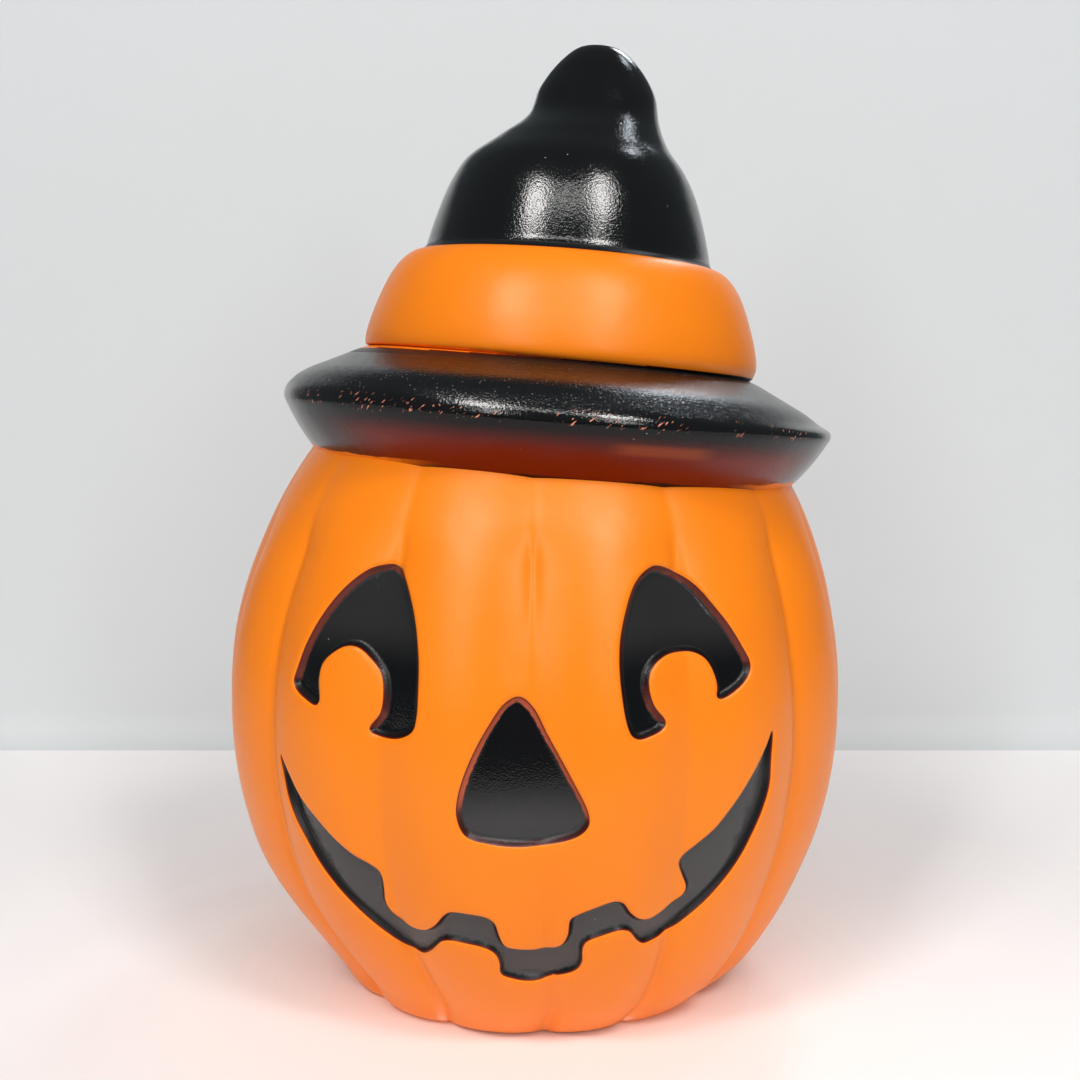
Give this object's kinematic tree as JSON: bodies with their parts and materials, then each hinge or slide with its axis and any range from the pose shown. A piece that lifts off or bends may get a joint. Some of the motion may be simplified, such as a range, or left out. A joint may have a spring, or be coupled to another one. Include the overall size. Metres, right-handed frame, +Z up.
{
  "type": "blow mold jack-o'-lantern lamp",
  "caption": "Hollow ribbed pumpkin lantern with a sunk grinning face and a tilted pointed hat, lit from inside by a small battery lamp on a base tray.",
  "frame": {"origin": "middle of the flat foot ring, on the surface that the lantern stands on", "axes": "+Z up along the pumpkin, the face looks along -Y, +X to the right as the face is seen from the front"},
  "size_m": [0.1438, 0.1419, 0.2154],
  "materials": {
    "orange_plastic": "satin blow moulded polyethylene, gloss black paint on hat, eyes and nose",
    "black_plastic": "moulded, lightly textured",
    "screw_steel": "zinc plated",
    "cell_jacket": "printed film over steel can",
    "contact_nickel": "nickel plated sheet and wire",
    "switch_plastic": "moulded",
    "knob_plastic": "moulded",
    "brass": "plain",
    "white_plastic": "moulded",
    "solder": "tinned",
    "bulb_glass": "clear",
    "bead_glass": "clear, greenish",
    "filament_wire": "drawn wire",
    "lead_red": "insulated wire",
    "lead_white": "insulated wire",
    "lead_black": "insulated wire"
  },
  "bodies": {
    "lantern": {"shell": "orange_plastic", "base_tray": "black_plastic", "base_screw_1": "screw_steel", "base_screw_2": "screw_steel", "base_screw_3": "screw_steel", "battery_cell_1": "cell_jacket", "battery_cell_2": "cell_jacket", "contact_bridge": "contact_nickel", "contact_positive": "contact_nickel", "contact_negative": "contact_nickel", "switch_case": "switch_plastic", "switch_terminal_1": "brass", "switch_terminal_2": "brass", "lamp_holder": "white_plastic", "socket_shell": "brass", "socket_tab": "brass", "bulb_cap": "brass", "bulb_tip": "solder", "bulb_glass": "bulb_glass", "bulb_bead": "bead_glass", "bulb_filament": "filament_wire", "lead_red": "lead_red", "lead_white": "lead_white", "lead_black": "lead_black"},
    "door": {"battery_door": "black_plastic"},
    "knob": {"switch_knob": "knob_plastic", "switch_bridge": "brass"}
  },
  "joints": [
    {"name": "door_hinge", "type": "hinge", "parent": "lantern", "child": "door", "pos_m": [0, -0.01845, 0.0023], "axis": [-1, 0, 0], "range_deg": [0, 95]},
    {"name": "switch_slide", "type": "slide", "parent": "lantern", "child": "knob", "axis": [1, 0, 0], "range_m": [0, 0.004]}
  ]
}
